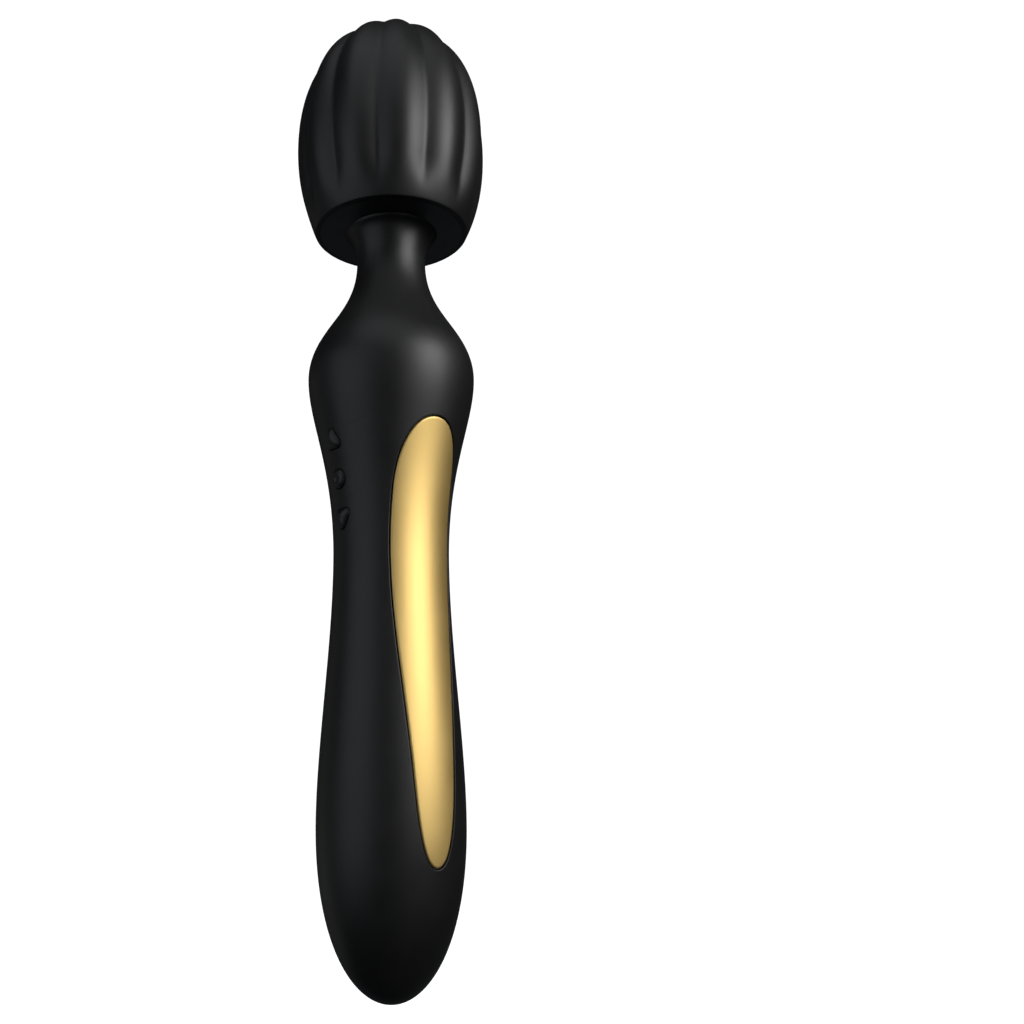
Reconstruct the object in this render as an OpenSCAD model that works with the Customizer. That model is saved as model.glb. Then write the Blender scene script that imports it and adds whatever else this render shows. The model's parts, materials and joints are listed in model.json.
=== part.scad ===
// Cordless wand massager: a fluted head with an eccentric-weight motor on a sprung neck,
// and a waisted handle with two leaf inlays, three buttons, a battery and a charging socket.
// Millimetres. +Z runs up the wand's axis to the head, the buttons face -Y, the inlays face
// +X and -X, and the origin is on the axis at the waist, the narrowest place of the handle.

/* [Handle outline] */
// Diameter of the handle at the waist
waist_d = 31.8; // [26.5:0.1:40]
// Largest diameter of the lower grip
grip_d = 39.2; // [32.5:0.1:50]
// Largest diameter of the shoulder below the neck
shoulder_d = 47.2; // [39.3:0.1:60]
// Diameter of the neck at its narrowest
neck_d = 20; // [19:0.1:24]
// Height from the grip's widest ring up to the waist
grip_h = 68.3; // [57:0.1:90]
// Height from the rounded lower end up to the grip's widest ring
end_h = 43.7; // [36.4:0.1:60]
// Height from the waist up to the shoulder's widest ring
shoulder_h = 51.8; // [43.1:0.1:65]
// Height from the shoulder's widest ring up to the narrowest neck
neck_h = 36.2; // [30.1:0.1:45]
// Height of the flare between the narrowest neck and the head
flare_h = 9.2; // [8:0.1:12]
// Diameter of the flare where it meets the head
flare_d = 27; // [25:0.1:32]

/* [Head] */
// Largest diameter of the head over its ribs
head_d = 56; // [54:0.1:68]
// Height of the head
head_h = 66.1; // [66:0.1:80]
// Height of the head's widest ring above its flat underside
head_belly_h = 26.8; // [22:0.1:34]
// Diameter of the flat underside
rim_d = 44.6; // [44:0.1:48]
// Number of grooves round the head
grooves = 12; // [8:1:16]
// Depth of a groove
groove_depth = 1.5; // [0.6:0.1:1.7]
// Roundness of a groove's bottom, against the width of a rib
groove_round = 0.1; // [0.1:0.02:0.3]
// Thickness of the soft cap over a rib
cap_t = 2.6; // [2.4:0.1:3]
// Width of the cap's rim round the base plate
cap_rim_w = 1.2; // [1:0.1:1.6]
// Height of the cap's lip that sits in the base plate's groove
cap_lip_h = 1; // [0.8:0.1:1.2]
// Depth of the base plate's groove for the lip
cap_lip_w = 0.8; // [0.6:0.1:1]
// Wall of the hard dome under the cap
dome_t = 1.8; // [1.4:0.1:2.2]
// Thickness of the base plate
base_t = 3; // [2.8:0.1:3.6]
// Thickness of the base plate's cover below the cap's lip
cover_t = 1; // [0.8:0.1:1.2]

/* [Walls] */
// Thickness of the soft skin on the handle
skin_t = 1.5; // [1.3:0.1:2]
// Wall of the hard handle shells
shell_t = 1.8; // [1.4:0.1:2.2]

/* [Inlays] */
// Height of an inlay's top above the waist
leaf_top = 36.2; // [30.2:0.1:40]
// Depth of an inlay's lower end below the waist
leaf_bottom = 77.3; // [64.4:0.1:84]
// Width of an inlay at its widest
leaf_w = 19.5; // [16.2:0.1:22]
// Height of the widest place above the waist
leaf_wide_h = 16; // [12:0.1:20]
// Width of an inlay's lower stretch, where its round end begins
leaf_low_w = 12.9; // [10:0.1:14]
// Depth below the waist where the round lower end begins
leaf_low = 55; // [48:0.1:58]
// Depth of the inlay's face below the skin's surface
leaf_sink = 0.15; // [0:0.05:0.3]
// Gap between an inlay and the skin round it
leaf_gap = 0.3; // [0.2:0.05:0.5]
// Radius of the pegs that hold an inlay on the shells
peg_r = 1.5; // [1:0.1:2]

/* [Buttons] */
// Height of the lowest button above the waist
button_low = 10.4; // [9:0.1:14]
// Spacing of the three buttons
button_pitch = 10.3; // [8.6:0.1:12.4]
// Radius of the round middle button
button_r = 2.6; // [2.2:0.1:3.1]
// Distance of a triangle button's corner centres from its middle
button_corner = 1.9; // [1.6:0.1:2.3]
// Corner radius of a triangle button
button_corner_r = 1.3; // [1:0.1:1.6]
// Height of a button above the skin
button_proud = 0.5; // [0.3:0.1:0.8]
// Depth of a button cap below the skin's surface
button_deep = 0.7; // [0.5:0.1:0.8]
// Travel of a button
button_travel = 0.6; // [0.4:0.1:0.7]
// Gap between a button cap and the skin round it
button_gap = 0.25; // [0.2:0.05:0.4]
// Radius of a plunger's stem
stem_r = 1.5; // [1.2:0.1:1.7]
// Radius of a plunger's stop flange
stop_r = 2.3; // [2.1:0.1:2.6]
// Thickness of a plunger's stop flange
stop_t = 0.8; // [0.6:0.1:1]

/* [Motor] */
// Outer radius of the motor
motor_r = 12.2; // [10.2:0.1:12.4]
// Length of the motor's body
motor_l = 30.8; // [26:0.1:32]
// Wall of the motor's steel can
can_t = 0.8; // [0.6:0.1:1]
// Length of the motor's plastic end cap
endcap_l = 4; // [3:0.1:5]
// Radius of the motor's shaft
shaft_r = 1; // [0.9:0.05:1.2]
// Wall of the rubber sleeve round the motor
damper_t = 1.2; // [1:0.1:1.4]
// Wall of the motor cradle
cradle_t = 1.6; // [1.2:0.1:1.8]
// Radius of the eccentric weight
weight_r = 11; // [9:0.1:12]
// Height of the eccentric weight
weight_h = 10; // [8:0.1:10]

/* [Neck] */
// Outer radius of the hard plugs at each end of the neck
plug_r = 8; // [7.6:0.1:8]
// Bore of the plugs, for the motor's leads
plug_bore_r = 3; // [2.6:0.1:3.4]
// Radius of the plugs' flanges
plug_flange_r = 12; // [11.6:0.1:12.4]
// Thickness of the plugs' flanges
plug_flange_t = 2.4; // [2:0.1:2.6]
// Height over which the neck bends
flex_h = 18; // [15:0.1:20]
// Wire radius of the neck spring
spring_wire_r = 0.8; // [0.6:0.1:0.9]
// Middle radius of the neck spring
spring_r = 5.6; // [5.2:0.1:5.8]
// Turns of the neck spring
spring_turns = 6; // [5:1:7]

/* [Battery and electronics] */
// Radius of the battery cell
cell_r = 9; // [7.5:0.1:9.2]
// Length of the battery cell
cell_l = 65; // [54:0.1:66]
// Wall of the battery cradle
tray_t = 0.9; // [0.7:0.1:1.2]
// Thickness of the foam pads on the cell
pad_t = 0.6; // [0.4:0.1:0.8]
// Distance of the board's front face inside the shell at the waist
board_setback = 3.6; // [3.4:0.1:4.2]
// Height of the board's lower edge above the waist
board_low = 3; // [2:0.1:4]
// Length of the board
board_l = 39; // [37:0.1:42]
// Thickness of the board
board_t = 1.6; // [1:0.1:1.6]
// Width of a switch
switch_w = 4.2; // [3.6:0.1:4.4]
// Height of a switch's body
switch_h = 1.4; // [1.2:0.1:1.5]
// Height of a switch's own plunger
switch_dot_h = 0.4; // [0.3:0.1:0.5]
// Bore of the charging socket, for the charger's needle plug
port_r = 1.25; // [1:0.05:1.5]
// Depth of the charging socket's bore
port_l = 8.5; // [7:0.1:9]
// Outer radius of the charging socket's body
socket_r = 3; // [2.6:0.1:3.4]
// Radius of a lead
lead_r = 0.5; // [0.4:0.05:0.6]

/* [Fasteners] */
// Shank radius of the shell screws
screw_r = 1; // [0.9:0.05:1.1]
// Head radius of the shell screws
screw_head_r = 1.9; // [1.7:0.1:2]
// Radius of the bosses round the shell screws
boss_r = 2.6; // [2.5:0.1:2.8]
// Height of the upper shell screws above the waist
screw_high = 46; // [44:0.1:48]
// Depth of the lower shell screws below the waist
screw_low = 17; // [14:0.1:20]
// Shank radius of the small screws
small_screw_r = 0.8; // [0.7:0.05:0.9]
// Head radius of the small screws
small_head_r = 1.5; // [1.4:0.05:1.6]
// Head height of the small screws
small_head_h = 0.9; // [0.7:0.1:0.9]

/* [Fits] */
// Radial clearance of a part that turns or slides
run_fit = 0.06; // [0.03:0.01:0.1]
// Clearance between fixed parts that slip together
slip_fit = 0.1; // [0.05:0.05:0.2]
// Smallest air gap between parts that must not touch
air = 0.4; // [0.3:0.1:0.6]

/* [Hidden] */
$fn = 64;

// Stations of the outline on the axis
grip_z = -grip_h;
tip_z = grip_z - end_h;
shoulder_z = shoulder_h;
neck_z = shoulder_z + neck_h;
head_z = neck_z + flare_h;
belly_z = head_z + head_belly_h;
top_z = head_z + head_h;

// Steps of a curve between two stations
STEPS = 12;
CAP_STEPS = 9;
DOME_STEPS = 6;

function bez(a, b, c, d, n) = [
    for (i = [0:n])
        let (t = i / n, u = 1 - t)
            u * u * u * a + 3 * u * u * t * b + 3 * u * t * t * c + t * t * t * d
];
function tail(v) = [for (i = [1:len(v) - 1]) v[i]];
function rev(v) = [for (i = [len(v) - 1:-1:0]) v[i]];
function radius_at(pts, z) = lookup(z, [for (p = pts) [p[1], p[0]]]);

// The curve moved inwards by d along its own normal
function inset(pts, d) = [
    for (i = [0:len(pts) - 1])
        let (
            a = pts[max(0, i - 1)],
            b = pts[min(len(pts) - 1, i + 1)],
            n = [b[1] - a[1], a[0] - b[0]] / norm(b - a)
        )
            [max(0, pts[i][0] - d * n[0]), pts[i][1] - d * n[1]]
];

// The stretch of a curve between two heights, with its ends cut square
function span(pts, z0, z1) = concat(
    [[radius_at(pts, z0), z0]],
    [for (p = pts) if (p[1] > z0 + 0.01 && p[1] < z1 - 0.01) p],
    [[radius_at(pts, z1), z1]]
);

// Half outline of the handle and neck, from the lower end up to the head
tip_full = 0.5;
grip_full_low = 0.664;
grip_full_high = 0.3;
waist_full_low = 0.345;
waist_full_high = 0.51;
shoulder_full_low = 0.234;
shoulder_full_high = 0.366;
neck_full = 0.48;
function rise(r0, z0, full0, r1, z1, full1) = bez(
    [r0, z0], [r0, z0 + full0 * (z1 - z0)], [r1, z1 - full1 * (z1 - z0)], [r1, z1], STEPS
);
grip_r = grip_d / 2;
waist_r = waist_d / 2;
shoulder_r = shoulder_d / 2;
neck_r = neck_d / 2;
flare_r = flare_d / 2;
outline = concat(
    bez([0, tip_z], [tip_full * grip_r, tip_z], [grip_r, grip_z - grip_full_low * end_h],
        [grip_r, grip_z], STEPS),
    tail(rise(grip_r, grip_z, grip_full_high, waist_r, 0, waist_full_low)),
    tail(rise(waist_r, 0, waist_full_high, shoulder_r, shoulder_z, shoulder_full_low)),
    tail(rise(shoulder_r, shoulder_z, shoulder_full_high, neck_r, neck_z, neck_full)),
    tail(bez([neck_r, neck_z], [neck_r, neck_z + flare_h / 2],
        [neck_r + (flare_r - neck_r) / 3, head_z - flare_h / 10], [flare_r, head_z], STEPS))
);
under_skin = inset(outline, skin_t);
under_shell = inset(outline, skin_t + shell_t);

// Half outline of the head over its ribs, from the underside up to the pole
belly_r = head_d / 2;
rim_r = rim_d / 2;
flank_full_low = 0.265;
flank_full_high = 0.404;
flank_lean = 0.49;
crown_full = 0.574;
pole_full = 0.668;
function head_outline(low_steps, high_steps) = concat(
    bez([rim_r, head_z],
        [rim_r + flank_lean * flank_full_low * head_belly_h, head_z + flank_full_low * head_belly_h],
        [belly_r, belly_z - flank_full_high * head_belly_h], [belly_r, belly_z], low_steps),
    tail(bez([belly_r, belly_z], [belly_r, belly_z + crown_full * (top_z - belly_z)],
        [pole_full * belly_r, top_z], [0, top_z], high_steps))
);
dome_line = head_outline(DOME_STEPS, DOME_STEPS + 2);
cap_inner = inset(dome_line, cap_t);
dome_outer = inset(dome_line, cap_t + slip_fit);
dome_inner = inset(dome_line, cap_t + slip_fit + dome_t);

// Inside the head: the cap's lip sits between the base plate's cover and its upper disc
cover_z = head_z + cover_t;
cover_r = rim_r - cap_rim_w;
lip_z = cover_z + cap_lip_h;
disc_r = radius_at(cap_inner, lip_z);
lip_r = disc_r - cap_lip_w;
base_top = head_z + base_t;
spigot_h = plug_flange_t + small_head_h;
spigot_wall = 1.6;
spigot_r = radius_at(dome_inner, base_top) - slip_fit;
cradle_z = base_top + spigot_h;
cradle_floor = 1.8;
cradle_screw_r = spigot_r - small_head_r;
cradle_boss_r = 2.1;
damper_floor = 1;
lead_hole_r = 4.2;

// Motor
motor_z = cradle_z + cradle_floor + damper_floor;
motor_top = motor_z + motor_l;
cup_r = motor_r + damper_t;
cup_top = motor_top;
can_inner_r = motor_r - can_t;
magnet_t = 1.6;
magnet_r = can_inner_r - slip_fit / 2;
rotor_gap = 1.2;
rotor_r = magnet_r - magnet_t - rotor_gap;
bush_r = 2;
bush_l = 2.4;
bush_seat = 1.2;
nose_h = 1.6;
nose_r = 3;
terminal_x = 3.2;
terminal_w = 1.8;
terminal_t = 0.6;
terminal_l = 2.4;
clamp_t = 1.6;
clamp_wall = 1.4;
clamp_skirt = 6;
weight_z = motor_top + clamp_t + air + nose_h;
hub_r = 3.6;
shaft_top = weight_z + weight_h + 1;

// The neck's flexible stretch and its screws
flex_top = head_z - 3.2;
flex_z = flex_top - flex_h;
ledge_z = flex_z - 10;
plug_rise = 2.4;
sleeve_bore_r = spring_r + spring_wire_r + air;
plug_screw_r = plug_r + small_head_r + 2 * slip_fit;
plug_screw_grip = 4;

// Battery and leads: the cell sits where the handle is wide enough for its tray and the lead lane
lane_y = -(cell_r + pad_t + air / 2 + lead_r);
cell_room = max(cell_r + tray_t + 2 * slip_fit, lead_r - lane_y + air);
tray_gap = 0.6;
bare_z = [for (p = under_shell) if (p[0] > cell_room) p[1]][0];
port_sink = 0.45;
port_end = 1.2;
nozzle_r = 1.9;
socket_base = tip_z + skin_t;
socket_top = tip_z + port_sink + port_l + port_end;
cell_z = max(bare_z + tray_gap + tray_t, socket_top + 3);
cell_top = cell_z + cell_l;
cell_cap_r = 3;
cell_cap_h = 0.8;
rib_t = 1.6;
rib_z = [cell_z + 0.2 * cell_l, cell_z + 0.75 * cell_l];
pad_over = 1.5;

// Board, switches and buttons
board_y = -(radius_at(under_shell, 0) - board_setback);
board_back = board_y + board_t;
board_half_w = sqrt(pow(radius_at(under_shell, 0), 2) - board_y * board_y) - air;
board_top = board_low + board_l;
board_inset = 2.4;
board_screw_x = board_half_w - board_inset - 0.2;
board_screw_z = [board_low + board_inset, board_top - board_inset];
board_post_r = 1.8;
connector_w = 6;
connector_h = 7;
connector_t = 3;
connector_pin_x = 1.2;
lead_x = board_screw_x - small_head_r - lead_r - air;
lead_pitch = 2 * lead_r + air + 0.2;
land_y = board_back + lead_r + 0.3;
button_z = [button_low, button_low + button_pitch, button_low + 2 * button_pitch];
// Where each button's first corner points: down, round, up
button_aim = [-90, 0, 90];
button_reach = 6;
switch_dot_r = 1;
switch_face = board_y - switch_h - switch_dot_h;

// Shell screws and the inlays' pegs
screw_z = [screw_high, -screw_low];
function screw_x(z) = radius_at(under_shell, z) - boss_r - air;
screw_seat_y = 5;
screw_grip = 6.5;
screw_head_h = 1.4;
peg_z = [-leaf_low + 5, leaf_wide_h];
peg_y = leaf_low_w / 4;

// ---- shared shapes ----

module turned(outer, inner) {
    rotate_extrude($fn = 96) polygon(concat(outer, rev(inner)));
}

module solid_of(pts) {
    top = pts[len(pts) - 1];
    rotate_extrude($fn = 96) polygon(concat(pts, [[0, top[1]], [0, pts[0][1]]]));
}

module cylinder_at(r, z0, z1) {
    translate([0, 0, z0]) cylinder(r = r, h = z1 - z0);
}

module tube(r_out, r_in, z0, z1) {
    difference() {
        cylinder_at(r_out, z0, z1);
        cylinder_at(r_in, z0 - 1, z1 + 1);
    }
}

// Copies of a shape in a ring about the axis
module ring_of(count, radius, start = 0) {
    for (i = [0:count - 1]) rotate([0, 0, start + i * 360 / count]) translate([radius, 0, 0]) children();
}

// A cylinder along +Y from y0 to y1
module rod_y(x, z, r, y0, y1) {
    translate([x, y0, z]) rotate([-90, 0, 0]) cylinder(r = r, h = y1 - y0);
}

// Everything on the front (-Y) or rear (+Y) side of the split
module half(side) {
    wide = shoulder_d + 20;
    translate([-wide / 2, side < 0 ? -wide : 0, tip_z - 10]) cube([wide, wide, flex_z - tip_z + 20]);
}

// A screw that points down -Z, its head's underside at the origin
module screw(r, head_r, head_h, length) {
    translate([0, 0, -length]) cylinder(r = r, h = length + head_h / 2);
    difference() {
        cylinder(r = head_r, h = head_h);
        translate([0, 0, head_h / 2]) cylinder(r = head_r / 2, h = head_h, $fn = 6);
    }
}

// Tube of radius r along a path of points
module sweep(path, r, ref, sides = 8) {
    n = len(path);
    pts = [
        for (i = [0:n - 1])
            let (
                a = path[max(0, i - 1)],
                b = path[min(n - 1, i + 1)],
                t = (b - a) / norm(b - a),
                u = cross(ref, t) / norm(cross(ref, t)),
                v = cross(t, u)
            )
                for (k = [0:sides - 1])
                    path[i] + r * (u * cos(360 * k / sides) + v * sin(360 * k / sides))
    ];
    walls = [
        for (i = [0:n - 2])
            for (k = [0:sides - 1])
                let (k1 = (k + 1) % sides)
                    [i * sides + k, (i + 1) * sides + k, (i + 1) * sides + k1, i * sides + k1]
    ];
    ends = [
        [for (k = [0:sides - 1]) k],
        [for (k = [sides - 1:-1:0]) (n - 1) * sides + k]
    ];
    polyhedron(pts, concat(walls, ends));
}

// A path with its corners cut twice, so that it bends gently
function eased(p) = concat(
    [p[0]],
    [for (i = [0:len(p) - 2]) each [0.75 * p[i] + 0.25 * p[i + 1], 0.25 * p[i] + 0.75 * p[i + 1]]],
    [p[len(p) - 1]]
);

module lead(points) {
    sweep(eased(eased(points)), lead_r, [1, 0, 0]);
}

// ---- head ----

// Share of the full depth at an angle: one in a groove, none on a rib, convex ribs between
function groove_share(a) =
    let (s = cos(grooves * (a - 90) / 2), full = norm([1, groove_round]) - groove_round)
        1 - (norm([s, groove_round]) - groove_round) / full;
function ease(t) = let (s = min(1, max(0, t))) s * s * (3 - 2 * s);
// Grooves run out above the rim and towards the pole
groove_rim_z = head_z + 0.5;
groove_full_z = head_z + 12.5;
groove_pole_r = 23;
function depth_at(p) = groove_depth * ease((p[1] - groove_rim_z) / (groove_full_z - groove_rim_z))
    * ease(p[0] / groove_pole_r);

module head_cap() {
    columns = grooves * 8;
    outer = head_outline(CAP_STEPS, CAP_STEPS + 3);
    outer_rows = [for (i = [0:len(outer) - 2]) [outer[i][0], outer[i][1], depth_at(outer[i])]];
    inner_wall = span(cap_inner, lip_z, top_z - cap_t);
    inner_rows = [for (i = [len(inner_wall) - 2:-1:0]) [inner_wall[i][0], inner_wall[i][1], 0]];
    lip = [[lip_r, lip_z, 0], [lip_r, cover_z, 0], [cover_r, cover_z, 0], [cover_r, head_z, 0]];
    rows = concat(outer_rows, inner_rows, lip);
    n = len(rows);
    split = len(outer_rows);
    pts = concat(
        [
            for (row = rows)
                for (k = [0:columns - 1])
                    let (a = 360 * k / columns, r = row[0] - row[2] * groove_share(a))
                        [r * cos(a), r * sin(a), row[1]]
        ],
        [[0, 0, top_z], [0, 0, top_z - cap_t]]
    );
    bands = [
        for (i = [0:n - 1])
            if (i != split - 1)
                for (k = [0:columns - 1])
                    let (
                        j = (i + 1) % n,
                        k1 = (k + 1) % columns,
                        a = i * columns + k,
                        b = i * columns + k1,
                        c = j * columns + k1,
                        d = j * columns + k
                    )
                        each [[a, d, c], [a, c, b]]
    ];
    top_pole = n * columns;
    poles = [
        for (k = [0:columns - 1])
            let (k1 = (k + 1) % columns)
                each [
                    [(split - 1) * columns + k, top_pole, (split - 1) * columns + k1],
                    [split * columns + k1, top_pole + 1, split * columns + k]
                ]
    ];
    color([0.1, 0.1, 0.11]) polyhedron(pts, concat(bands, poles));
}

module head_dome() {
    color([0.25, 0.25, 0.27]) turned(
        span(dome_outer, base_top, top_z - cap_t - slip_fit),
        span(dome_inner, base_top, top_z - cap_t - slip_fit - dome_t)
    );
}

module head_base() {
    color([0.13, 0.13, 0.15]) difference() {
        union() {
            cylinder_at(cover_r - slip_fit / 2, head_z, cover_z - slip_fit / 2);
            cylinder_at(lip_r - slip_fit / 2, head_z, base_top);
            cylinder_at(disc_r - slip_fit, lip_z, base_top);
            tube(spigot_r, spigot_r - spigot_wall, base_top - 1, cradle_z);
            intersection() {
                cylinder_at(spigot_r, base_top - 1, cradle_z);
                ring_of(3, cradle_screw_r) cylinder_at(cradle_boss_r, base_top - 1, cradle_z);
            }
        }
        cylinder_at(plug_r + slip_fit / 2, head_z - 1, cradle_z + 1);
        ring_of(3, cradle_screw_r) cylinder_at(small_screw_r, base_top - base_t / 2, cradle_z + 1);
        ring_of(3, plug_screw_r, 60) cylinder_at(small_screw_r, head_z + base_t / 4, cradle_z + 1);
    }
}

module motor_cradle() {
    color([0.75, 0.75, 0.72]) difference() {
        union() {
            cylinder_at(spigot_r, cradle_z, cradle_z + cradle_floor);
            cylinder_at(cup_r + cradle_t, cradle_z, cup_top);
        }
        cylinder_at(cup_r, cradle_z + cradle_floor, cup_top + 1);
        cylinder_at(lead_hole_r, cradle_z - 1, cup_top);
        ring_of(3, cradle_screw_r) cylinder_at(small_screw_r + slip_fit, cradle_z - 1, cup_top);
    }
}

module cradle_screws() {
    color("silver") ring_of(3, cradle_screw_r) translate([0, 0, cradle_z + cradle_floor])
        screw(small_screw_r, small_head_r, small_head_h, cradle_floor + spigot_h + 0.4 * base_t);
}

module motor_damper() {
    color([0.2, 0.2, 0.2]) difference() {
        cylinder_at(cup_r, motor_z - damper_floor, motor_top);
        cylinder_at(motor_r, motor_z, motor_top + 1);
        cylinder_at(lead_hole_r, motor_z - 2 * damper_floor, motor_top);
    }
}

module motor_can() {
    color([0.72, 0.72, 0.7]) difference() {
        union() {
            cylinder_at(motor_r, motor_z + endcap_l, motor_top);
            cylinder_at(nose_r, motor_top - 1, motor_top + nose_h);
        }
        cylinder_at(can_inner_r, motor_z + endcap_l - 1, motor_top - can_t);
        cylinder_at(bush_r, motor_top - 2, motor_top + nose_h + 1);
    }
}

module motor_endcap() {
    color([0.9, 0.9, 0.86]) difference() {
        union() {
            cylinder_at(motor_r, motor_z, motor_z + endcap_l);
            for (side = [-1, 1])
                translate([side * terminal_x - terminal_w / 2, -terminal_t / 2, motor_z - terminal_l])
                    cube([terminal_w, terminal_t, terminal_l + 0.2]);
        }
        tube(can_inner_r, bush_r + 1, motor_z + bush_seat, motor_z + endcap_l + 1);
        cylinder_at(bush_r, motor_z + bush_seat, motor_z + endcap_l + 1);
    }
}

module motor_magnets() {
    gap = 9;
    color([0.3, 0.28, 0.28]) difference() {
        tube(magnet_r, magnet_r - magnet_t, motor_z + endcap_l + 1, motor_top - can_t - 3);
        translate([-gap / 2, -motor_r, motor_z]) cube([gap, 2 * motor_r, motor_l]);
    }
}

module motor_bushes() {
    color([0.72, 0.52, 0.3]) {
        tube(bush_r, shaft_r + run_fit, motor_top - can_t, motor_top + nose_h);
        tube(bush_r, shaft_r + run_fit, motor_z + bush_seat, motor_z + bush_seat + bush_l);
    }
}

module motor_clamp() {
    low = motor_top - clamp_skirt;
    color([0.75, 0.75, 0.72]) difference() {
        cylinder_at(cup_r + cradle_t + clamp_wall, low, motor_top + clamp_t);
        cylinder_at(cup_r + cradle_t + slip_fit / 2, low - 1, motor_top);
        cylinder_at(nose_r + slip_fit, motor_top - 1, motor_top + clamp_t + 1);
    }
}

module motor_shaft() {
    color("silver") cylinder_at(shaft_r, motor_z + bush_seat + 0.2, shaft_top);
}

module motor_rotor() {
    low = motor_z + endcap_l + 3;
    high = motor_top - can_t - 4;
    sleeve_r = 3.2;
    slot_r = 2;
    color([0.7, 0.4, 0.22]) difference() {
        union() {
            cylinder_at(rotor_r, low, high);
            cylinder_at(sleeve_r, low - 3, high + 2);
        }
        cylinder_at(shaft_r, low - 4, high + 3);
        ring_of(3, rotor_r + 0.3 * slot_r) cylinder_at(slot_r, low - 1, high + 1);
    }
}

module eccentric_weight() {
    color([0.6, 0.6, 0.62]) difference() {
        union() {
            intersection() {
                cylinder_at(weight_r, weight_z, weight_z + weight_h);
                translate([-weight_r, -2 * weight_r, weight_z])
                    cube([2 * weight_r, 2 * weight_r, weight_h]);
            }
            cylinder_at(hub_r, weight_z, weight_z + weight_h);
        }
        cylinder_at(shaft_r, weight_z - 1, weight_z + weight_h + 2);
    }
}

// ---- neck ----

module neck_sleeve() {
    wide = plug_r + slip_fit;
    color([0.11, 0.11, 0.12]) turned(
        span(outline, flex_z, head_z),
        [
            [wide, flex_z], [wide, flex_z + plug_rise + slip_fit],
            [sleeve_bore_r, flex_z + plug_rise + slip_fit], [sleeve_bore_r, flex_top - slip_fit],
            [wide, flex_top - slip_fit], [wide, head_z]
        ]
    );
}

module neck_spring() {
    low = flex_z + plug_rise + spring_wire_r;
    high = flex_top - spring_wire_r;
    steps = spring_turns * 14;
    path = [
        for (i = [0:steps])
            let (a = 360 * spring_turns * i / steps, seat = 0.1)
                [spring_r * cos(a), spring_r * sin(a), low + seat + (high - low - 2 * seat) * i / steps]
    ];
    color([0.65, 0.65, 0.68]) sweep(path, spring_wire_r, [0, 0, 1]);
}

module neck_plug_upper() {
    color([0.6, 0.6, 0.58]) difference() {
        union() {
            cylinder_at(plug_r, flex_top, base_top + plug_flange_t);
            cylinder_at(plug_flange_r, base_top, base_top + plug_flange_t);
        }
        cylinder_at(plug_bore_r, flex_top - 1, base_top + plug_flange_t + 1);
        ring_of(3, plug_screw_r, 60) cylinder_at(small_screw_r + slip_fit, base_top - 1, cradle_z);
    }
}

module upper_plug_screws() {
    color("silver") ring_of(3, plug_screw_r, 60) translate([0, 0, base_top + plug_flange_t])
        screw(small_screw_r, small_head_r, small_head_h, plug_flange_t + base_t - 1);
}

module neck_plug_lower() {
    color([0.6, 0.6, 0.58]) difference() {
        union() {
            cylinder_at(plug_r, ledge_z - plug_flange_t, flex_z + plug_rise);
            cylinder_at(plug_flange_r, ledge_z - plug_flange_t, ledge_z);
        }
        cylinder_at(plug_bore_r, ledge_z - plug_flange_t - 1, flex_z + plug_rise + 1);
        ring_of(4, plug_screw_r, 45)
            cylinder_at(small_screw_r + slip_fit, ledge_z - plug_flange_t - 1, ledge_z + 1);
    }
}

module lower_plug_screws() {
    color("silver") ring_of(4, plug_screw_r, 45) translate([0, 0, ledge_z - plug_flange_t])
        rotate([180, 0, 0])
            screw(small_screw_r, small_head_r, small_head_h, plug_flange_t + plug_screw_grip);
}

// Two leads from the board's connector up through the neck to the motor
module motor_leads() {
    start_y = board_back + connector_t / 2;
    start_z = board_top - 1;
    end_y = terminal_t / 2 + lead_r;
    color([0.7, 0.12, 0.1]) for (side = [-1, 1]) {
        start_x = side * connector_pin_x;
        lead([
            [start_x, start_y, start_z + 0.2], [start_x, start_y, start_z + 4],
            [start_x, start_y / 2, start_z + 9], [side, 0, ledge_z - 8], [side, 0, flex_z],
            [side, 0, flex_top], [side, 0, cradle_z - 1], [side * 2, end_y + 0.6, cradle_z],
            [side * terminal_x, end_y + 0.3, motor_z - terminal_l], [side * terminal_x, end_y, motor_z - 1]
        ]);
    }
}

// ---- handle ----

function leaf_half() =
    let (
        low_r = leaf_low_w / 2,
        wide_r = leaf_w / 2,
        low_lean = 0.07,
        end_len = leaf_bottom - leaf_low,
        mid_len = leaf_low + leaf_wide_h,
        top_len = leaf_top - leaf_wide_h
    )
        concat(
            bez([0, -leaf_bottom], [0.73 * low_r, -leaf_bottom],
                [low_r - low_lean * 0.42 * end_len, -leaf_low - 0.42 * end_len], [low_r, -leaf_low], 8),
            tail(bez([low_r, -leaf_low], [low_r + low_lean * 0.5 * mid_len, -leaf_low + 0.5 * mid_len],
                [wide_r, leaf_wide_h - 0.44 * mid_len], [wide_r, leaf_wide_h], 8)),
            tail(bez([wide_r, leaf_wide_h], [wide_r, leaf_wide_h + 0.28 * top_len],
                [wide_r, leaf_top], [0, leaf_top], 9))
        );

// The leaf's outline grown by a gap, drawn out along +X or -X
module leaf_prism(side, gap) {
    right = inset(leaf_half(), -gap);
    left = [for (p = rev(right)) [-p[0], p[1]]];
    mirror([side < 0 ? 1 : 0, 0, 0]) rotate([90, 0, 90]) linear_extrude(grip_d + shoulder_d)
        polygon(concat(right, [for (i = [1:len(left) - 2]) left[i]]));
}

// Pegs through the shell wall, reach deep from its outer face, in pairs beside the split
module inlay_pegs(side, r, reach) {
    for (z = peg_z) for (y = [-peg_y, peg_y]) {
        wall = radius_at(under_skin, z);
        start = side * (sqrt(wall * wall - peg_y * peg_y) - reach);
        translate([start, y, z]) rotate([0, side * 90, 0]) cylinder(r = r, h = reach + skin_t / 2);
    }
}

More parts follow.
